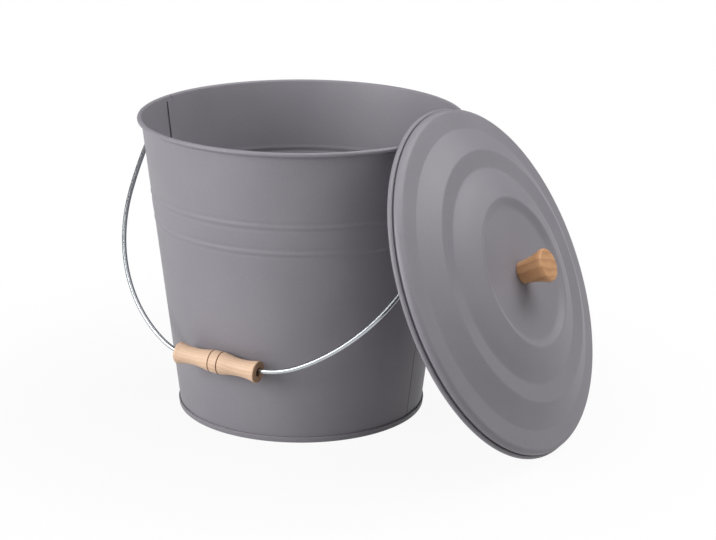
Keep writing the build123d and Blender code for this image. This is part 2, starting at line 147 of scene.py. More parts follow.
class BailSizes(bpy.types.PropertyGroup):
    wire: length("Wire", "Radius of the wire", 0.0020)
    depth: length("Depth", "From the pivot axis to the straight under the grip", 0.2157)
    straight: length("Straight", "Half the straight length under the grip", 0.0284)
    corner: length("Corner", "Radius of the bends beside the grip", 0.081)
    corner_turn: turn("Corner turn", "Angle of the bends beside the grip", 29.9)
    shoulder: length("Shoulder", "Radius of the wide bends", 0.157)
    shoulder_turn: turn("Shoulder turn", "Angle of the wide bends", 56.7)
    hook: length("Hook", "Radius of the bend into the ear", 0.0035)
    half_span: length("Half span", "From the middle to the wire beside an ear", 0.14353)
    head: length("Head", "Radius of the upset end behind the ear", 0.0030)
    head_length: length("Head length", "Thickness of the upset end", 0.0012)
    head_place: length("Head place", "From the middle to the upset end", 0.13753)


class GripSizes(bpy.types.PropertyGroup):
    half_length: length("Half length", "Half the grip's length", 0.04007)
    belly: length("Belly", "Radius in the middle", 0.0097)
    neck: length("Neck", "Radius at the necks", 0.0074)
    neck_place: length("Neck place", "From the middle to a neck", 0.0231)
    belly_curve: length("Belly curve", "Radius of the belly's long curve", 0.0575)
    end_round: length("End round", "Radius of the rounded end edges", 0.0016)
    bore: length("Bore", "Radius of the bore", 0.00366)
    mouth: length("Mouth", "Chamfer at the ends of the bore", 0.0005)
    shift: length("Shift", "From the spin joint's place to the grip's middle, along the wire", 0.00175)
    groove_width: length("Groove width", "Width of a burnt groove", 0.0011)
    groove_depth: length("Groove depth", "Depth of a burnt groove", 0.0005)
    first_groove: length("First groove", "Place of the first groove", -0.0050)
    second_groove: length("Second groove", "Place of the second groove", 0.0036)
    steps: IntProperty(name="Steps", description="Faces round the grip", default=72, min=24)


class KnobSizes(bpy.types.PropertyGroup):
    height: length("Height", "Height of the knob", 0.0263)
    base: length("Base", "Radius on the lid", 0.0094)
    bend: length("Bend", "Radius where the side is the most hollow", 0.0105)
    bend_height: length("Bend height", "Height of the most hollow place", 0.0095)
    top: length("Top", "Radius of the top", 0.0142)
    flare_height: length("Flare height", "Height where the flare ends", 0.0225)
    top_round: length("Top round", "Roundness of the top's edge", 0.0020)
    seat: length("Seat", "Height of the lid's disc above the lid's edge", 0.02815)
    bore: length("Bore", "Radius of the screw's bore", 0.00205)
    bore_depth: length("Bore depth", "Depth of the screw's bore", 0.018)
    steps: IntProperty(name="Steps", description="Faces round the knob", default=96, min=24)


class Finishes(bpy.types.PropertyGroup):
    coat: paint("Paint", "Warm grey powder coat", (0.238, 0.225, 0.252))
    coat_rough: share("Paint roughness", "Roughness of the powder coat", 0.50)
    zinc: paint("Zinc", "Bright zinc on the wire", (0.48, 0.505, 0.525))
    beech: paint("Beech", "Pale turned beech", (0.77, 0.545, 0.39))
    beech_dark: paint("Beech grain", "Late wood and flecks in the beech", (0.62, 0.385, 0.235))
    knob_wood: paint("Knob wood", "Warmer wood of the knob", (0.61, 0.335, 0.165))
    knob_dark: paint("Knob grain", "Dark grain of the knob", (0.36, 0.16, 0.065))
    burnt: paint("Burnt wood", "Scorched grooves and end grain", (0.22, 0.095, 0.04))
    steel: paint("Plain steel", "Zinc plated screw and washer", (0.55, 0.55, 0.56))


class StageSettings(bpy.types.PropertyGroup):
    distance: length("Distance", "From the bucket's axis to the camera over the floor", 1.7138)
    eye_height: length("Eye height", "Height of the camera", 0.6575)
    azimuth: turn("Azimuth", "Where the camera stands, from the front towards +X", 29.5)
    aim: turn("Aim", "How far the camera turns right of the bucket's axis", 1.6616)
    dip: turn("Dip", "How far the camera looks down", 17.4294)
    roll: turn("Roll", "Turn of the camera about its own view", 0.573)
    lens: FloatProperty(name="Lens", description="Focal length in millimetres", default=102.70)
    left_power: power("Left light", "Power of the left light", 27.0)
    right_power: power("Right light", "Power of the right light", 5.0)
    top_power: power("Top light", "Power of the top light", 17.0)
    front_power: power("Front light", "Power of the front light", 9.0)
    high_power: power("High light", "Power of the high right light", 22.0)
    sky: FloatProperty(name="Sky", description="Strength of the even light from all round", default=0.06)
    room_low: share("Room, low", "Brightness of the room in reflections from level", 0.30)
    room_high: share("Room, high", "Brightness of the room in reflections from above", 0.85)
    floor: paint("Floor", "Pale floor", (0.50, 0.50, 0.50))
    glow: share("Floor glow", "Share of the floor's look by the bucket that is plain white", 0.93)
    fade_start: length("Fade start", "Where the floor starts to fade to plain white", 0.16)
    fade_end: length("Fade end", "Where the floor has turned plain white", 0.45)


# Modelling helpers


def select_nothing():
    """Leaves edit mode and selects nothing, so that the next tool acts on its own piece."""
    if bpy.context.object and bpy.context.object.mode != "OBJECT":
        bpy.ops.object.mode_set(mode="OBJECT")
    bpy.ops.object.select_all(action="DESELECT")


def take(piece, *others):
    """Selects a piece, with any others, and makes it the active one."""
    select_nothing()
    for each in (piece, *others):
        each.select_set(True)
    bpy.context.view_layer.objects.active = piece


def draw_profile(name, points):
    """A chain of edges through (radius, height) points.

    A small plane is merged to one point, which is moved to the first place and extruded along.
    """
    select_nothing()
    bpy.ops.mesh.primitive_plane_add(size=0.001, location=(0, 0, 0))
    piece = bpy.context.object
    piece.name = name
    piece.data.name = name
    bpy.ops.object.mode_set(mode="EDIT")
    bpy.ops.mesh.select_all(action="SELECT")
    bpy.ops.mesh.merge(type="CENTER")
    bpy.ops.transform.translate(value=(points[0][0], 0, points[0][1]))
    for before, after in zip(points, points[1:]):
        step = (after[0] - before[0], 0, after[1] - before[1])
        bpy.ops.mesh.extrude_region_move(TRANSFORM_OT_translate={"value": step})
    return piece


def close_profile():
    """Joins the two ends of the profile in hand."""
    mesh = bpy.context.object.data
    bpy.ops.object.mode_set(mode="OBJECT")
    uses = [0] * len(mesh.vertices)
    for edge in mesh.edges:
        for index in edge.vertices:
            uses[index] += 1
    for vertex in mesh.vertices:
        vertex.select = uses[vertex.index] == 1
    bpy.ops.object.mode_set(mode="EDIT")
    bpy.ops.mesh.select_mode(type="VERT")
    bpy.ops.mesh.edge_face_add()


def weld_and_turn_out():
    """Merges the points that meet in the piece in hand and turns its faces out."""
    bpy.ops.mesh.select_all(action="SELECT")
    bpy.ops.mesh.remove_doubles(threshold=0.00001)
    bpy.ops.mesh.normals_make_consistent(inside=False)


def spin_profile(steps, angle, axis=(0, 0, 1)):
    """Turns the drawn profile about an axis through the origin. The spin tool turns clockwise."""
    bpy.ops.mesh.select_all(action="SELECT")
    bpy.ops.mesh.spin(steps=steps, angle=angle, center=(0, 0, 0), axis=[-part for part in axis])
    weld_and_turn_out()


def face_out(piece, is_test_face, wanted):
    """Flips a sheet's faces if the first one that passes the test looks away from the wanted direction."""
    bpy.ops.object.mode_set(mode="OBJECT")
    face = next(f for f in piece.data.polygons if is_test_face(f.center))
    looks_away = face.normal.dot(wanted(face.center)) < 0
    bpy.ops.object.mode_set(mode="EDIT")
    bpy.ops.mesh.select_all(action="SELECT")
    if looks_away:
        bpy.ops.mesh.flip_normals()


def thicken(piece, sheet):
    """Gives a sheet its thickness behind its faces."""
    bpy.ops.object.mode_set(mode="OBJECT")
    solid = piece.modifiers.new("Sheet", "SOLIDIFY")
    solid.thickness = sheet
    solid.offset = -1
    solid.use_even_offset = True
    bpy.ops.object.modifier_apply(modifier=solid.name)


def place_mesh(piece, matrix):
    """Puts the mesh at its place and leaves the object at the origin."""
    take(piece)
    piece.matrix_world = matrix
    bpy.ops.object.transform_apply(location=True, rotation=True, scale=True)


def finish_piece(piece, material, body, slot, *nodes, crisp=40):
    """Gives a piece smooth shading, its material and its body, and hides the CAD nodes that it stands for.

    Edges sharper than the crisp angle, in degrees, stay crisp. The slot is not used.
    """
    take(piece)
    bpy.ops.object.shade_smooth_by_angle(angle=math.radians(crisp))
    piece.data.materials.clear()
    piece.data.materials.append(material)
    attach(piece, body)
    if nodes:
        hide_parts(*nodes)


def dress_node(name, material):
    """Gives a CAD node another material in each of its slots."""
    node = frame["nodes"][name]
    if not node.material_slots:
        node.data.materials.append(material)
    for slot in node.material_slots:
        slot.material = material


def arc_points(middle, radius, start, sweep, count):
    """Points along an arc, its first point left out."""
    return [
        (
            middle[0] + radius * math.cos(start + sweep * i / count),
            middle[1] + radius * math.sin(start + sweep * i / count),
        )
        for i in range(1, count + 1)
    ]

def evenly(first, last, count):
    """Even places from the first up to the last, which is left out."""
    return [first + (last - first) * i / count for i in range(count)]


def rounded(rows, most_step=math.radians(7)):
    """A chain of points through the corners, given as (radius, height, roundness of the corner)."""
    corners = [Vector(row[:2]) for row in rows]
    chain = corners[:1]
    for before, corner, after, row in zip(corners, corners[1:], corners[2:], rows[1:]):
        roundness = row[2]
        into = (corner - before).normalized()
        out = (after - corner).normalized()
        bend = into.angle(out)
        if roundness == 0 or bend < 0.001:
            chain.append(corner)
            continue
        middle = corner + (out - into).normalized() * (roundness / math.cos(bend / 2))
        first = corner - into * (roundness * math.tan(bend / 2))
        start = math.atan2(first.y - middle.y, first.x - middle.x)
        turns_left = into.x * out.y - into.y * out.x > 0
        sweep = bend if turns_left else -bend
        count = max(2, math.ceil(bend / most_step))
        chain += [first] + [Vector(p) for p in arc_points(middle, roundness, start, sweep, count)]
    return [tuple(p) for p in chain + corners[-1:]]


def filled_in(chain, longest):
    """The chain with long runs divided, so that faces stay even."""
    result = [chain[0]]
    for before, after in zip(chain, chain[1:]):
        run = math.dist(before, after)
        count = max(1, math.ceil(run / longest))
        for i in range(1, count + 1):
            result.append(tuple(b + (a - b) * i / count for b, a in zip(before, after)))
    return result


# Material helpers


def new_group(name, inputs, outputs):
    """A node group with named sockets, given as (name, kind, default)."""
    group = bpy.data.node_groups.new(name, "ShaderNodeTree")
    for label, kind, default in inputs:
        socket = group.interface.new_socket(name=label, in_out="INPUT", socket_type="NodeSocket" + kind)
        if default is not None:
            socket.default_value = default
    for label, kind in outputs:
        group.interface.new_socket(name=label, in_out="OUTPUT", socket_type="NodeSocket" + kind)
    return group, group.nodes.new("NodeGroupInput"), group.nodes.new("NodeGroupOutput")

def feed(tree, node, inputs):
    """Feeds a node's inputs, by name or number, from sockets, numbers, places or colours."""
    for key, value in inputs.items():
        socket = node.inputs[key]
        if isinstance(value, bpy.types.NodeSocket):
            tree.links.new(value, socket)
        elif socket.type == "RGBA":
            socket.default_value = (*value[:3], 1.0)
        else:
            socket.default_value = value


def add(tree, kind, inputs=None, **settings):
    """A node with its settings and its inputs."""
    node = tree.nodes.new("ShaderNode" + kind)
    for key, value in settings.items():
        setattr(node, key, value)
    feed(tree, node, inputs or {})
    return node


def math_node(tree, operation, *values):
    """A Math node fed by sockets or numbers."""
    return add(tree, "Math", dict(enumerate(values)), operation=operation).outputs[0]


def scaled(tree, value, gain, offset):
    """A value times a gain, plus an offset."""
    return math_node(tree, "ADD", math_node(tree, "MULTIPLY", value, gain), offset)


def wander(tree, value, reach):
    """A noise made to swing to both sides of nought."""
    return math_node(tree, "MULTIPLY", math_node(tree, "SUBTRACT", value, 0.5), reach)


def blend_colours(tree, factor, first, second):
    """A colour mix fed by sockets or colours."""
    return add(tree, "Mix", {0: factor, 6: first, 7: second}, data_type="RGBA").outputs[2]


def noise(tree, place, scale, detail=2.0, roughness=0.5):
    """A Noise texture on some coordinates."""
    inputs = {"Vector": place, "Scale": scale, "Detail": detail, "Roughness": roughness}
    return add(tree, "TexNoise", inputs).outputs["Fac"]


def ramp(tree, value, low, high, least=0.0, most=1.0):
    """A value eased so that low gives the least and high gives the most."""
    inputs = {"Value": value, "From Min": low, "From Max": high, "To Min": least, "To Max": most}
    return add(tree, "MapRange", inputs, interpolation_type="SMOOTHSTEP").outputs["Result"]


def bump(tree, height, distance, strength):
    """The normal of a surface with a fine relief."""
    return add(tree, "Bump", {"Height": height, "Distance": distance, "Strength": strength}).outputs["Normal"]


def coat_group():
    """Fine orange peel and slight cloudiness of a powder coat."""
    group, into, out = new_group(
        "Powder Coat",
        [("Coordinates", "Vector", None), ("Colour", "Color", (0.2, 0.2, 0.2, 1)), ("Roughness", "Float", 0.5)],
        [("Colour", "Color"), ("Roughness", "Float"), ("Height", "Float")],
    )
    place, colour = into.outputs["Coordinates"], into.outputs["Colour"]
    grain = noise(group, place, scale=1100.0, roughness=0.6)
    peel = noise(group, place, scale=420.0)
    cloud = noise(group, place, scale=14.0, detail=3.0)
    lighter = blend_colours(group, 0.015, colour, (1.0, 1.0, 1.0))
    darker = blend_colours(group, 0.025, colour, (0.0, 0.0, 0.0))
    shade = blend_colours(group, ramp(group, cloud, 0.3, 0.7), darker, lighter)
    speck = math_node(group, "MULTIPLY", ramp(group, grain, 0.55, 0.75), 0.06)
    rough = math_node(group, "ADD", into.outputs["Roughness"], wander(group, cloud, 0.05))
    look = {"Colour": blend_colours(group, speck, shade, (1.0, 1.0, 1.0)), "Roughness": rough}
    feed(group, out, {**look, "Height": scaled(group, grain, 0.4, peel)})
    return group


def wood_group():
    """Straight grain along X: wandering growth rings, fine fibres and short dark flecks."""
    group, into, out = new_group(
        "Turned Wood",
        [
            ("Coordinates", "Vector", None),
            ("Early Wood", "Color", (0.7, 0.5, 0.3, 1)),
            ("Late Wood", "Color", (0.5, 0.3, 0.15, 1)),
            ("Ring Spacing", "Float", 0.0022),
            ("Contrast", "Float", 0.5),
        ],
        [("Colour", "Color"), ("Height", "Float"), ("Roughness", "Float")],
    )
    place, contrast = into.outputs["Coordinates"], into.outputs["Contrast"]
    along = add(group, "Mapping", {"Vector": place, "Scale": (0.10, 1.0, 1.0)}).outputs["Vector"]
    shorter = add(group, "Mapping", {"Vector": place, "Scale": (0.32, 1.0, 1.0)}).outputs["Vector"]
    parts = add(group, "SeparateXYZ", {"Vector": along})
    across = scaled(group, parts.outputs["Z"], 0.35, parts.outputs["Y"])
    wandering = scaled(group, noise(group, along, scale=90.0), 0.0055, across)
    phase = math_node(group, "DIVIDE", wandering, into.outputs["Ring Spacing"])
    late = ramp(group, math_node(group, "FRACT", phase), 0.25, 0.95)
    fibre = noise(group, along, scale=1500.0, detail=3.0, roughness=0.6)
    cloud = noise(group, along, scale=60.0)
    fleck = ramp(group, noise(group, shorter, scale=1150.0, detail=1.0), 0.62, 0.74)
    uneven = math_node(group, "ADD", wander(group, fibre, 0.55), wander(group, cloud, 0.6))
    rings = math_node(group, "ADD", math_node(group, "MULTIPLY", late, contrast), uneven)
    flecks = math_node(group, "MULTIPLY", fleck, math_node(group, "MULTIPLY", contrast, 1.1))
    dark = add(group, "Clamp", {"Value": math_node(group, "ADD", rings, flecks)}).outputs[0]
    colour = blend_colours(group, dark, into.outputs["Early Wood"], into.outputs["Late Wood"])
    pits = math_node(group, "MULTIPLY", fleck, 0.8)
    height = math_node(group, "SUBTRACT", math_node(group, "MULTIPLY", fibre, 0.7), pits)
    feed(group, out, {"Colour": colour, "Height": height, "Roughness": scaled(group, fibre, 0.12, 0.42)})
    return group


def new_material(name):
    """A material with its node tree, its Principled shader and its Object coordinates."""
    material = bpy.data.materials.new(name)
    material.use_nodes = True
    tree = material.node_tree
    return material, tree, tree.nodes["Principled BSDF"], add(tree, "TexCoord").outputs["Object"]


def coat_material():
    """Matt grey powder coat on the bucket and the lid."""
    existing = bpy.data.materials.get("grey_powder_coat")
    if existing:
        return existing
    look = bpy.context.scene.bucket_finishes
    material, tree, shader, place = new_material("grey_powder_coat")
    inputs = {"Coordinates": place, "Colour": look.coat, "Roughness": look.coat_rough}
    coat = add(tree, "Group", node_tree=bpy.data.node_groups.get("Powder Coat") or coat_group())
    feed(tree, coat, inputs)
    relief = bump(tree, coat.outputs["Height"], distance=0.00006, strength=0.6)
    feed(tree, shader, {"Base Color": coat.outputs["Colour"], "Roughness": coat.outputs["Roughness"]})
    feed(tree, shader, {"Specular IOR Level": 0.42, "Normal": relief})
    return material


def zinc_material():
    """Bright drawn and zinc plated wire."""
    look = bpy.context.scene.bucket_finishes
    material, tree, shader, place = new_material("bright_zinc_wire")
    mottle = noise(tree, place, scale=260.0, detail=3.0, roughness=0.6)
    dull = blend_colours(tree, 0.25, look.zinc, (0.25, 0.27, 0.30))
    colour = blend_colours(tree, ramp(tree, mottle, 0.45, 0.8), look.zinc, dull)
    relief = bump(tree, mottle, distance=0.00004, strength=0.4)
    feed(tree, shader, {"Base Color": colour, "Roughness": scaled(tree, mottle, 0.16, 0.16)})
    feed(tree, shader, {"Metallic": 1.0, "Normal": relief})
    return material


def steel_material():
    """Zinc plated steel of the screw and the washer."""
    existing = bpy.data.materials.get("plated_steel")
    if existing:
        return existing
    look = bpy.context.scene.bucket_finishes
    material, tree, shader, place = new_material("plated_steel")
    mottle = noise(tree, place, scale=600.0, roughness=0.6)
    dark = blend_colours(tree, 0.3, look.steel, (0.2, 0.2, 0.22))
    colour = blend_colours(tree, mottle, look.steel, dark)
    feed(tree, shader, {"Base Color": colour, "Roughness": scaled(tree, mottle, 0.2, 0.25), "Metallic": 1.0})
    return material


def wood_material(name, early, late, turning, spacing, contrast):
    """Turned wood whose grain runs along the local X of a turning matrix."""
    material, tree, shader, place = new_material(name)
    stand = {"Vector": place, "Location": turning.to_translation(), "Rotation": turning.to_euler()}
    lay = add(tree, "Mapping", vector_type="TEXTURE")
    feed(tree, lay, stand)
    wood = add(tree, "Group", node_tree=bpy.data.node_groups.get("Turned Wood") or wood_group())
    feed(tree, wood, {"Coordinates": lay.outputs["Vector"], "Early Wood": early, "Late Wood": late})
    feed(tree, wood, {"Ring Spacing": spacing, "Contrast": contrast})
    relief = bump(tree, wood.outputs["Height"], distance=0.00012, strength=0.5)
    feed(tree, shader, {"Base Color": wood.outputs["Colour"], "Roughness": wood.outputs["Roughness"]})
    feed(tree, shader, {"Specular IOR Level": 0.35, "Normal": relief})
    return material


def burnt_material(name, colour):
    """Scorched or end grain wood."""
    material, tree, shader, place = new_material(name)
    pores = noise(tree, place, scale=1400.0, roughness=0.6)
    darker = blend_colours(tree, 0.55, colour, (0.02, 0.01, 0.005))
    mottled = blend_colours(tree, ramp(tree, pores, 0.4, 0.7), colour, darker)
    feed(tree, shader, {"Base Color": mottled, "Roughness": scaled(tree, pores, 0.2, 0.6)})
    return material


def second_material(piece, material, belongs):
    """Adds a material and gives it to the faces that pass a test on their middle."""
    piece.data.materials.append(material)
    index = len(piece.data.materials) - 1
    for face in piece.data.polygons:
        if belongs(face):
            face.material_index = index


# Bucket


def wall_slope(sizes):
    """Angle of the wall off upright."""
    return math.atan((sizes.top_radius - sizes.foot_radius) / (sizes.height - sizes.bead))


def wall_point(sizes, height, out):
    """A place at a distance out from the wall's outer face, as radius and height."""
    slope = wall_slope(sizes)
    radius = sizes.foot_radius + height * math.tan(slope)
    return (radius + out * math.cos(slope), height - out * math.sin(slope))


def swell(distance, width):
    """A soft hump that is one in its middle and nought beyond half its width."""
    if abs(distance) >= width / 2:
        return 0.0
    return 0.5 + 0.5 * math.cos(math.tau * distance / width)


def wall_relief(sizes, height):
    """How far the ribs, the grooves beside them and the bulge stand out from the plain wall."""
    out = 0.0
    for rib in (sizes.lower_rib, sizes.upper_rib):
        wave = math.cos(math.tau * (height - rib) / sizes.rib_pitch)
        out += sizes.rib_height * wave * swell(height - rib, sizes.rib_pitch * 2)
    middle = (sizes.lower_rib + sizes.upper_rib) / 2
    out += sizes.bulge * swell(height - middle, (sizes.upper_rib - sizes.lower_rib) * 0.95)
    return out


def wall_heights(low, high, sizes):
    """Heights of the wall's rings, close together at the ribs and far apart elsewhere."""
    start = sizes.lower_rib - sizes.rib_pitch
    end = sizes.upper_rib + sizes.rib_pitch
    below, pressed, above = 12, 62, 5
    return evenly(low, start, below) + evenly(start, end, pressed) + evenly(end, high, above) + [high]


def spun_wall(name, points, sheet, angle, start, steps):
    """A curved sheet spun from a profile of its outer face."""
    piece = draw_profile(name, points)
    spin_profile(steps, angle)
    middle = sum(p[1] for p in points) / len(points)
    face_out(piece, lambda c: abs(c.z - middle) < 0.03, lambda c: Vector((c.x, c.y, 0)))
    thicken(piece, sheet)
    place_mesh(piece, Matrix.Rotation(start, 4, "Z"))
    return piece


def wall_half(name, sizes, start):
    """Half of the bucket's wall, with its rolled rim and the tongue under the next half's edge."""
    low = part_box("wall_front")[0].z
    slope = wall_slope(sizes)
    bead_height = sizes.height - sizes.bead
    inner = sizes.bead - sizes.sheet
    curl_base = bead_height + inner * math.sin(slope)
    points = [wall_point(sizes, h, wall_relief(sizes, h)) for h in wall_heights(low, curl_base, sizes)]
    middle = wall_point(sizes, curl_base, inner)
    points += arc_points(middle, inner, math.pi - slope, -sizes.curl, count=22)
    sweep = math.pi - sizes.seam_line
    half = spun_wall(name, points, sizes.sheet, sweep, start + sizes.seam_line, sizes.steps)
    heights = wall_heights(low, bead_height - sizes.tongue_drop, sizes)
    points = [wall_point(sizes, h, wall_relief(sizes, h) - sizes.seam_depth) for h in heights]
    hold = sizes.tongue_hold
    sweep = sizes.seam_lap + hold
    tongue = spun_wall(name + "_tongue", points, sizes.sheet, sweep, start + math.pi - hold, steps=6)
    take(half, tongue)
    bpy.ops.object.join()
    return half


class BUCKET_OT_walls(bpy.types.Operator):
    """Two curved wall halves with ribs, rolled rim and lap seams"""

    bl_idname = "bucket.walls"
    bl_label = "Walls"

    def execute(self, context):
        sizes = context.scene.bucket_sizes
        coat = coat_material()
        for name, start in (("wall_back", sizes.seam), ("wall_front", sizes.seam + math.pi)):
            half = wall_half("painted_" + name, sizes, start)
            finish_piece(half, coat, "bucket", "painted_steel", name)
        return {"FINISHED"}


def bottom_profile(sizes):
    """Section of the bottom: the recessed disc with its ring, the leg in the wall and the hem outside it."""
    slope = wall_slope(sizes)
    lean = math.tan(slope)
    inside = sizes.foot_radius - (sizes.sheet * 2 + sizes.seat * 3) / math.cos(slope)
    outside = sizes.foot_radius + sizes.seat / math.cos(slope)
    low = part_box("wall_front")[0].z - sizes.seat
    under, top = sizes.recess, sizes.recess + sizes.sheet
    ring_in, ring_out = sizes.ring - sizes.ring_width / 2, sizes.ring + sizes.ring_width / 2
    crest_in, crest_out = ring_in + sizes.ring_slope, ring_out - sizes.ring_slope
    corner, hem = sizes.recess_corner, sizes.hem_corner
    rows = [
        (0.0, under, 0),
        (ring_in, under, 0),
        (crest_in, under + sizes.ring_height, 0),
        (crest_out, under + sizes.ring_height, 0),
        (ring_out, under, 0),
        (inside - sizes.sheet + under * lean, under, corner),
        (inside - sizes.sheet, 0.0, hem),
        (outside + sizes.hem, 0.0, hem),
        (outside + sizes.hem + sizes.hem_height * lean, sizes.hem_height, hem),
        (outside + sizes.hem_height * lean, sizes.hem_height, hem),
        (outside + low * lean, low, 0),
        (inside + low * lean, low, 0),
        (inside + top * lean, top, corner),
        (ring_out, top, 0),
        (crest_out, top + sizes.ring_height, 0),
        (crest_in, top + sizes.ring_height, 0),
        (ring_in, top, 0),
        (0.0, top, 0),
    ]
    return rounded(rows, most_step=math.radians(15))


class BUCKET_OT_foot(bpy.types.Operator):
    """Pressed bottom with the hem that grips the wall's lower edge"""

    bl_idname = "bucket.foot"
    bl_label = "Foot"

    def execute(self, context):
        sizes = context.scene.bucket_sizes
        piece = draw_profile("hemmed_bottom", bottom_profile(sizes))
        spin_profile(sizes.steps * 2, math.tau)
        finish_piece(piece, coat_material(), "bucket", "painted_steel", "bottom_panel")
        return {"FINISHED"}


def rivet_model(sizes):
    """One rivet, turned from its section about Z, with the wall's outer face at nought."""
    ball = (sizes.head**2 + sizes.head_height**2) / (2 * sizes.head_height)
    top = sizes.seat + sizes.head_height
    dome = arc_points((0, top - ball), ball, math.pi / 2, -math.asin(sizes.head / ball), count=7)
    shank = [(sizes.shank, sizes.seat), (sizes.shank, -sizes.flush), (0.0, -sizes.flush)]
    rivet = draw_profile("rivet", [(0.0, top)] + dome + shank)
    spin_profile(steps=24, angle=math.tau)
    select_nothing()
    return rivet


def set_rivet(model, name, azimuth):
    """A copy of the rivet, with its own mesh, put through the wall at an azimuth."""
    rivet = model.copy()
    rivet.data = model.data.copy()
    rivet.name = rivet.data.name = name
    bpy.context.collection.objects.link(rivet)
    bucket = bpy.context.scene.bucket_sizes
    slope = wall_slope(bucket)
    radius = bucket.foot_radius + PIVOT.z * math.tan(slope)
    stand = Matrix.Translation((radius, 0, PIVOT.z)) @ Matrix.Rotation(math.pi / 2 + slope, 4, "Y")
    place_mesh(rivet, Matrix.Rotation(azimuth, 4, "Z") @ stand)
    return rivet


class BUCKET_OT_ears(bpy.types.Operator):
    """Painted ears with their rivets, flush inside the wall, and the rim wire"""

    bl_idname = "bucket.ears"
    bl_label = "Ears"

    def execute(self, context):
        sizes = context.scene.rivet_sizes
        coat = coat_material()
        model = rivet_model(sizes)
        for name, azimuth in (("ear_right", 0.0), ("ear_left", math.pi)):
            dress_node(name, coat)
            places = (azimuth - sizes.spread, azimuth + sizes.spread)
            pair = [set_rivet(model, name + "_flush_rivets", place) for place in places]
            take(*pair)
            bpy.ops.object.join()
            finish_piece(pair[0], coat, "bucket", "painted_steel", name + "_rivets")
        bpy.data.meshes.remove(model.data)
        dress_node("rim_wire", coat)
        return {"FINISHED"}


# Bail


def bail_stations(sizes):
    """The right half of the bail from its middle, in its own plane, with X along the pivot axis.

    Its steps are a run by its length, a bend by its radius, turn and faces, or a swell by its factor.
    """
    heading = sizes.corner_turn + sizes.shoulder_turn
    x = sizes.straight + sizes.corner * math.sin(sizes.corner_turn)
    x += sizes.shoulder * (math.sin(heading) - math.sin(sizes.corner_turn))
    y = sizes.depth - sizes.corner * (1 - math.cos(sizes.corner_turn))
    y -= sizes.shoulder * (math.cos(sizes.corner_turn) - math.cos(heading))
    end_heading = math.pi / 2
    for _ in range(12):  # the arm's bend and the hook's depend on each other, so they close in by turns
        end_y = sizes.hook * (1 + math.cos(end_heading))
        chord = math.atan2(y - end_y, sizes.half_span - x)
        end_heading = 2 * chord - heading
    span = math.hypot(sizes.half_span - x, y - end_y)
    bend = end_heading - heading
    arm_radius = span / (2 * math.sin(bend / 2))
    hook_end = sizes.half_span - sizes.hook * math.sin(math.pi - end_heading)
    return [
        ("run", sizes.straight),
        ("bend", sizes.corner, sizes.corner_turn, 12),
        ("bend", sizes.shoulder, sizes.shoulder_turn, 26),
        ("bend", arm_radius, bend, 8),
        ("bend", sizes.hook, math.pi - end_heading, 14),
        ("run", hook_end - sizes.head_place - sizes.head_length),
        ("swell", sizes.head / sizes.wire),
        ("run", sizes.head_length),
    ]


def extrude_bail(sizes):
    """Carries the wire's round end along the bail, as it would be bent."""
    place = Vector((0.0, 0.0, -sizes.depth))
    heading = 0.0
    for step in bail_stations(sizes):
        ahead = Vector((math.cos(heading), 0.0, math.sin(heading)))
        if step[0] == "run":
            bpy.ops.mesh.extrude_region_move(TRANSFORM_OT_translate={"value": ahead * step[1]})
            place += ahead * step[1]
        elif step[0] == "swell":
            hair = ahead * 0.00005  # keeps the wider ring from merging with the wire's own
            bpy.ops.mesh.extrude_region_move(TRANSFORM_OT_translate={"value": hair})
            bpy.ops.transform.resize(value=(step[1],) * 3, center_override=place)
        else:
            _, radius, bend, count = step
            side = Vector((-math.sin(heading), 0.0, math.cos(heading)))
            middle = place + side * radius
            bpy.ops.mesh.spin(steps=count, angle=bend, center=middle, axis=(0, 1, 0))
            heading += bend
            place = middle - Vector((-math.sin(heading), 0.0, math.cos(heading))) * radius


class BUCKET_OT_bail(bpy.types.Operator):
    """Bright wire bail, bent from one round wire and hooked into the ears"""

    bl_idname = "bucket.bail"
    bl_label = "Bail"

    def execute(self, context):
        sizes = context.scene.bail_sizes
        select_nothing()
        bpy.ops.mesh.primitive_circle_add(
            vertices=24, radius=sizes.wire, location=(0, 0, -sizes.depth), rotation=(0, math.pi / 2, 0)
        )
        piece = context.object
        piece.name = "bright_bail_wire"
        piece.data.name = piece.name
        bpy.ops.object.transform_apply(location=True, rotation=True, scale=True)
        bpy.ops.object.mode_set(mode="EDIT")
        bpy.ops.mesh.select_all(action="SELECT")
        extrude_bail(sizes)
        bpy.ops.mesh.edge_face_add()
        bpy.ops.object.mode_set(mode="OBJECT")
        mirror = piece.modifiers.new("Other arm", "MIRROR")
        mirror.merge_threshold = 0.00002
        bpy.ops.object.modifier_apply(modifier=mirror.name)
        bpy.ops.object.mode_set(mode="EDIT")
        weld_and_turn_out()
        place_mesh(piece, Matrix.Translation(PIVOT) @ Matrix.Rotation(-rest_swing(sizes), 4, "X"))
        finish_piece(piece, zinc_material(), "bail", "zinc_wire", "bail_wire", crisp=50)
        return {"FINISHED"}


def rest_swing(sizes):
    """How far forward of straight down the bail rests, from the lowest point of the CAD wire."""
    drop = PIVOT.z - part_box("bail_wire")[0].z - sizes.wire
    return math.acos(drop / sizes.depth)


# Grip


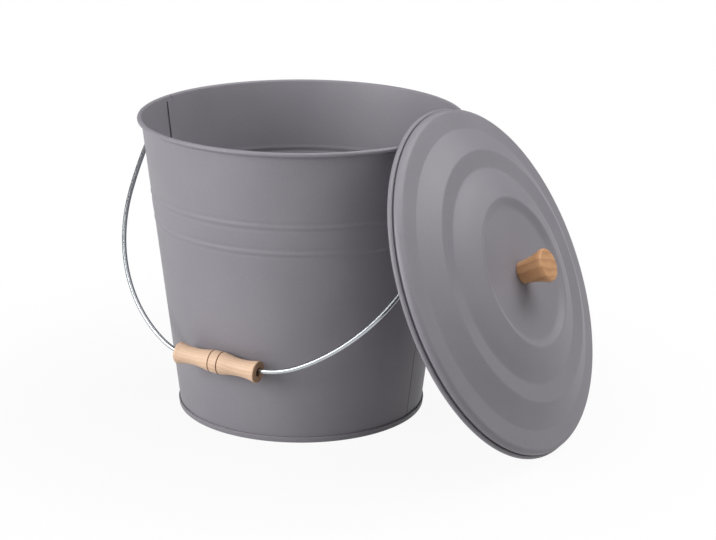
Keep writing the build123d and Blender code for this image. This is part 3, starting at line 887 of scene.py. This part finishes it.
def grip_profile(sizes):
    """Section of the turned grip as (place along, radius), from one end of the bore round to the other."""
    rise = sizes.belly - sizes.neck
    both = (sizes.neck_place**2 + rise**2) / (2 * rise)
    neck_curve = both - sizes.belly_curve
    meet = sizes.neck_place * sizes.belly_curve / both

    def outline(along):
        place = abs(along)
        if place < meet:
            return sizes.belly - sizes.belly_curve + math.sqrt(sizes.belly_curve**2 - place**2)
        return sizes.neck + neck_curve - math.sqrt(neck_curve**2 - (place - sizes.neck_place) ** 2)

    def cut(along):
        depth = 0.0
        for groove in (sizes.first_groove, sizes.second_groove):
            near = 1 - abs(along - groove) / (sizes.groove_width / 2)
            depth = max(depth, sizes.groove_depth * max(near, 0.0))
        return depth

    end = sizes.half_length - sizes.end_round
    places = evenly(-end, end, count=56) + [end]
    for groove in (sizes.first_groove, sizes.second_groove):
        near = sizes.groove_width / 2
        places = [p for p in places if abs(p - groove) > near * 1.3]  # room for the groove's own points
        places += [groove - near, groove, groove + near]
    body = [(p, outline(p) - cut(p)) for p in sorted(places)]
    shoulder = outline(end) - sizes.end_round
    left = arc_points((-end, shoulder), sizes.end_round, math.pi, -math.pi / 2, count=5)[:-1]
    right = arc_points((end, shoulder), sizes.end_round, math.pi / 2, -math.pi / 2, count=5)
    far, mouth = sizes.half_length, sizes.bore + sizes.mouth
    start = [(-far + sizes.mouth, sizes.bore), (-far, mouth), (-far, shoulder)]
    return start + left + body + right + [(far, mouth), (far - sizes.mouth, sizes.bore)]


class BUCKET_OT_grip(bpy.types.Operator):
    """Turned wooden grip with two burnt grooves and a bore for the wire"""

    bl_idname = "bucket.grip"
    bl_label = "Grip"

    def execute(self, context):
        sizes = context.scene.grip_sizes
        look = context.scene.bucket_finishes
        piece = draw_profile("turned_bail_grip", grip_profile(sizes))
        close_profile()
        spin_profile(sizes.steps, math.tau, axis=(1, 0, 0))
        turning = Vector((1, 0, 0)).rotation_difference(GRIP_AXIS).to_matrix().to_4x4()
        place = Matrix.Translation(GRIP_MIDDLE + GRIP_AXIS * sizes.shift) @ turning
        place_mesh(piece, place)
        grain = place @ Matrix.Rotation(0.6, 4, "X")
        beech = wood_material("pale_beech", look.beech, look.beech_dark, grain, spacing=0.0026, contrast=0.38)
        finish_piece(piece, beech, "grip", "beech", "bail_grip", crisp=32)
        inverse = place.inverted()

        def in_groove(face):
            along = (inverse @ face.center).x
            near = min(abs(along - sizes.first_groove), abs(along - sizes.second_groove))
            return near < sizes.groove_width / 2

        def at_end(face):
            spot = inverse @ face.center
            at_face = abs(spot.x) > sizes.half_length - sizes.mouth - 0.00002
            return at_face or math.hypot(spot.y, spot.z) < sizes.bore + 0.0002

        second_material(piece, burnt_material("burnt_groove", look.burnt), in_groove)
        end_colour = tuple(0.7 * a + 0.3 * b for a, b in zip(look.beech_dark, look.burnt))
        second_material(piece, burnt_material("grip_end_grain", end_colour), at_end)
        return {"FINISHED"}


# Lid and knob


def lid_place():
    """Where the lid leans: its own Z along its axis, its origin in the middle of its rolled edge."""
    sizes = bpy.context.scene.lid_sizes
    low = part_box("lid_panel")[0]
    reach = sizes.bead_line * math.sin(sizes.lean) + sizes.bead
    height = sizes.bead_line * math.cos(sizes.lean) + sizes.bead
    turning = UP.rotation_difference(LID_AXIS).to_matrix().to_4x4()
    return Matrix.Translation((low.x + reach, 0, low.z + height)) @ turning


def lid_profile(sizes):
    """The lid's upper face from the screw hole out to the rolled edge, as (radius, height)."""
    neck = (0.1478, 0.0030)
    inner = sizes.bead - sizes.sheet
    reach = math.dist(neck, (sizes.bead_line, 0))
    slant = math.atan2(-neck[1], sizes.bead_line - neck[0]) - math.asin(inner / reach)
    run = math.sqrt(reach**2 - inner**2)
    edge = (neck[0] + run * math.cos(slant), neck[1] + run * math.sin(slant))
    press = sizes.press
    rows = [
        (sizes.screw_hole, 0.0281, 0),
        (0.0570, 0.0281, press * 2.6),  # edge of the disc under the knob
        (0.0645, 0.0318, press),  # crest round the disc
        (0.0790, 0.0273, sizes.slope_press),  # long slope
        (0.0930, 0.0213, press * 1.5),  # hollow between the crests
        (0.1086, 0.0219, press * 1.3),  # outer crest
        (0.1302, 0.0118, press * 1.3),  # start of the brim
        (0.1496, 0.0091, sizes.shoulder),
        (0.1491, 0.0036, 0.0005),  # foot of the lip
        (*neck, 0.0007),
        (*edge, 0),
    ]
    curl = arc_points((sizes.bead_line, 0), inner, slant - math.pi / 2, sizes.curl, count=20)
    return filled_in(rounded(rows), longest=0.006) + curl


class BUCKET_OT_lid(bpy.types.Operator):
    """Pressed round lid with soft concentric steps and a rolled edge"""

    bl_idname = "bucket.lid"
    bl_label = "Lid"

    def execute(self, context):
        sizes = context.scene.lid_sizes
        piece = draw_profile("pressed_lid", lid_profile(sizes))
        spin_profile(sizes.steps, math.tau)
        face_out(piece, lambda c: 0.02 < math.hypot(c.x, c.y) < 0.05, lambda c: UP)
        thicken(piece, sizes.sheet)
        place_mesh(piece, lid_place())
        finish_piece(piece, coat_material(), "lid", "painted_steel", "lid_panel")
        return {"FINISHED"}


def knob_profile(sizes):
    """Section of the knob as (radius, height), from the bore at its base round to the top's middle."""
    top = sizes.height
    flare = (sizes.top, sizes.flare_height)
    chamfer, chamfer_height = 0.0005, 0.0006
    foot = (sizes.base, chamfer_height)
    side = three_point_arc(foot, (sizes.bend, sizes.bend_height), flare, count=14)
    flat = 0.002  # radius where the top's last ring of faces starts
    crown = [(*flare, 0), (sizes.top, top, sizes.top_round), (flat, top, 0)]
    crown = rounded(crown, most_step=math.radians(12))
    inside = [(0.0, sizes.bore_depth), (sizes.bore, sizes.bore_depth)]
    base = [(sizes.bore, 0.0), (sizes.base - chamfer, 0.0), foot]
    return inside + base + side + crown[1:] + [(0.0, top)]


def three_point_arc(first, middle, last, count):
    """Points along the circle through three points, after the first one."""
    a, b, c = Vector(first), Vector(middle), Vector(last)
    d = 2 * (a.x * (b.y - c.y) + b.x * (c.y - a.y) + c.x * (a.y - b.y))
    x = (a.length_squared * (b.y - c.y) + b.length_squared * (c.y - a.y) + c.length_squared * (a.y - b.y)) / d
    y = (a.length_squared * (c.x - b.x) + b.length_squared * (a.x - c.x) + c.length_squared * (b.x - a.x)) / d
    radius = math.dist((x, y), first)
    start = math.atan2(a.y - y, a.x - x)
    end = math.atan2(c.y - y, c.x - x)
    sweep = (end - start + math.pi) % math.tau - math.pi
    return arc_points((x, y), radius, start, sweep, count)


class BUCKET_OT_knob(bpy.types.Operator):
    """Turned wooden knob, with its screw and washer below the lid"""

    bl_idname = "bucket.knob"
    bl_label = "Knob"

    def execute(self, context):
        sizes = context.scene.knob_sizes
        look = context.scene.bucket_finishes
        piece = draw_profile("turned_knob", knob_profile(sizes))
        spin_profile(sizes.steps, math.tau)
        place = lid_place() @ Matrix.Translation((0, 0, sizes.seat))
        place_mesh(piece, place)
        grain = place @ Matrix.Rotation(math.radians(-90), 4, "Y") @ Matrix.Rotation(0.9, 4, "X")
        wood = wood_material("knob_wood", look.knob_wood, look.knob_dark, grain, spacing=0.0075, contrast=0.42)
        finish_piece(piece, wood, "lid", "beech", "lid_knob")
        dress_node("knob_screw", steel_material())
        dress_node("knob_washer", steel_material())
        return {"FINISHED"}


# Stage

# Each light's place to the right of, behind and above the bucket as the camera sees it, and its size
LIGHTS = {
    "left": (-1.5, -0.75, 0.8, 1.1),
    "right": (1.6, -0.6, 1.0, 1.1),
    "top": (0.2, -0.3, 2.1, 1.6),
    "front": (-1.0, -1.6, 0.9, 1.2),
    "high": (1.1, 0.3, 1.6, 1.2),
}
LIGHT_TARGET = Vector((0.05, 0, 0.13))


def mix_shaders(tree, factor, first, second, output):
    """Sends a mix of two shaders to the output."""
    mix = add(tree, "MixShader", {0: factor, 1: first.outputs[0], 2: second.outputs[0]})
    tree.links.new(mix.outputs[0], tree.nodes[output].inputs["Surface"])


def floor_material(settings):
    """Pale floor that shows plain white to the camera and in reflections, and keeps the shadow."""
    material, tree, shader, place = new_material("studio_floor")
    feed(tree, shader, {"Base Color": settings.floor, "Roughness": 0.9, "Specular IOR Level": 0.0})
    path = add(tree, "LightPath").outputs
    seen = math_node(tree, "MAXIMUM", path["Is Camera Ray"], path["Is Glossy Ray"])
    seen = math_node(tree, "MAXIMUM", seen, path["Is Transmission Ray"])
    reach = add(tree, "VectorMath", {0: place}, operation="LENGTH").outputs["Value"]
    fade = ramp(tree, reach, settings.fade_start, settings.fade_end, least=settings.glow)
    white = add(tree, "Emission", {"Strength": 1.0})
    mix_shaders(tree, math_node(tree, "MULTIPLY", seen, fade), shader, white, "Material Output")
    return material


def white_world(settings):
    """Even light from all round, seen as plain white by the camera and as a room by reflections."""
    world = bpy.data.worlds.new("studio")
    world.use_nodes = True
    tree = world.node_tree
    light = tree.nodes["Background"]
    white = add(tree, "Background", {"Color": (1.0, 1.0, 1.0)})
    path = add(tree, "LightPath").outputs
    seen = math_node(tree, "MAXIMUM", path["Is Camera Ray"], path["Is Transmission Ray"])
    mix_shaders(tree, seen, light, white, "World Output")
    heading = add(tree, "TexCoord").outputs["Generated"]
    height = add(tree, "SeparateXYZ", {"Vector": heading}).outputs["Z"]
    room = ramp(tree, height, low=0.1, high=0.8, least=settings.room_low, most=settings.room_high)
    strength = add(tree, "Mix", {0: path["Is Glossy Ray"], 2: settings.sky, 3: room}, data_type="FLOAT")
    feed(tree, light, {"Strength": strength.outputs[0]})
    bpy.context.scene.world = world


def area_light(name, place, size, energy):
    """A soft square light that looks at the bucket."""
    select_nothing()
    bpy.ops.object.light_add(type="AREA", location=place)
    lamp = bpy.context.object
    lamp.name = name
    lamp.data.size = size
    lamp.data.energy = energy
    lamp.rotation_euler = (LIGHT_TARGET - Vector(place)).to_track_quat("-Z", "Y").to_euler()


def seen_from_camera(right, back, up):
    """A place given in metres to the right of, behind and above the bucket as the camera sees it."""
    azimuth = bpy.context.scene.bucket_stage.azimuth
    across = Vector((math.cos(azimuth), math.sin(azimuth), 0))
    away = Vector((-math.sin(azimuth), math.cos(azimuth), 0))
    return across * right + away * back + UP * up


class BUCKET_OT_stage(bpy.types.Operator):
    """Pale floor, soft studio light and the camera"""

    bl_idname = "bucket.stage"
    bl_label = "Stage"

    def execute(self, context):
        settings = context.scene.bucket_stage
        scene = context.scene
        scene.view_settings.view_transform = "Standard"
        select_nothing()
        bpy.ops.mesh.primitive_plane_add(size=60.0, location=(0, 0, 0))
        floor = context.object
        floor.name = "floor"
        floor.data.materials.append(floor_material(settings))
        white_world(settings)
        for name, (right, back, up, size) in LIGHTS.items():
            energy = getattr(settings, name + "_power")
            area_light(name + "_light", seen_from_camera(right, back, up), size, energy)
        bpy.ops.object.camera_add()
        camera = context.object
        camera.name = "photo_camera"
        camera.data.sensor_width = 36.0
        camera.data.lens = settings.lens
        stand = seen_from_camera(0, -settings.distance, settings.eye_height)
        look = Matrix.Rotation(settings.azimuth - settings.aim, 4, "Z")
        look @= Matrix.Rotation(math.pi / 2 - settings.dip, 4, "X")
        look @= Matrix.Rotation(settings.roll, 4, "Z")
        camera.matrix_world = Matrix.Translation(stand) @ look
        scene.camera = camera
        return {"FINISHED"}


class BUCKET_PT_panel(bpy.types.Panel):
    """Buttons for each piece, in the order that they are made"""

    bl_label = "Ash Bucket"
    bl_idname = "BUCKET_PT_panel"
    bl_space_type = "VIEW_3D"
    bl_region_type = "UI"
    bl_category = "Bucket"

    def draw(self, context):
        for operator in OPERATORS:
            self.layout.operator(operator.bl_idname)


OPERATORS = (
    BUCKET_OT_walls,
    BUCKET_OT_foot,
    BUCKET_OT_ears,
    BUCKET_OT_bail,
    BUCKET_OT_grip,
    BUCKET_OT_lid,
    BUCKET_OT_knob,
    BUCKET_OT_stage,
)

SETTINGS = {
    "bucket_sizes": BucketSizes,
    "rivet_sizes": RivetSizes,
    "lid_sizes": LidSizes,
    "bail_sizes": BailSizes,
    "grip_sizes": GripSizes,
    "knob_sizes": KnobSizes,
    "bucket_finishes": Finishes,
    "bucket_stage": StageSettings,
}


def register():
    for name, group in SETTINGS.items():
        bpy.utils.register_class(group)
        setattr(bpy.types.Scene, name, PointerProperty(type=group))
    for operator in OPERATORS:
        bpy.utils.register_class(operator)
    bpy.utils.register_class(BUCKET_PT_panel)


def unregister():
    bpy.utils.unregister_class(BUCKET_PT_panel)
    for operator in reversed(OPERATORS):
        bpy.utils.unregister_class(operator)
    for name, group in reversed(SETTINGS.items()):
        delattr(bpy.types.Scene, name)
        bpy.utils.unregister_class(group)


def main():
    register()
    bpy.ops.bucket.walls()
    bpy.ops.bucket.foot()
    bpy.ops.bucket.ears()
    bpy.ops.bucket.bail()
    bpy.ops.bucket.grip()
    bpy.ops.bucket.lid()
    bpy.ops.bucket.knob()
    bpy.ops.bucket.stage()


if __name__ == "__main__":
    main()
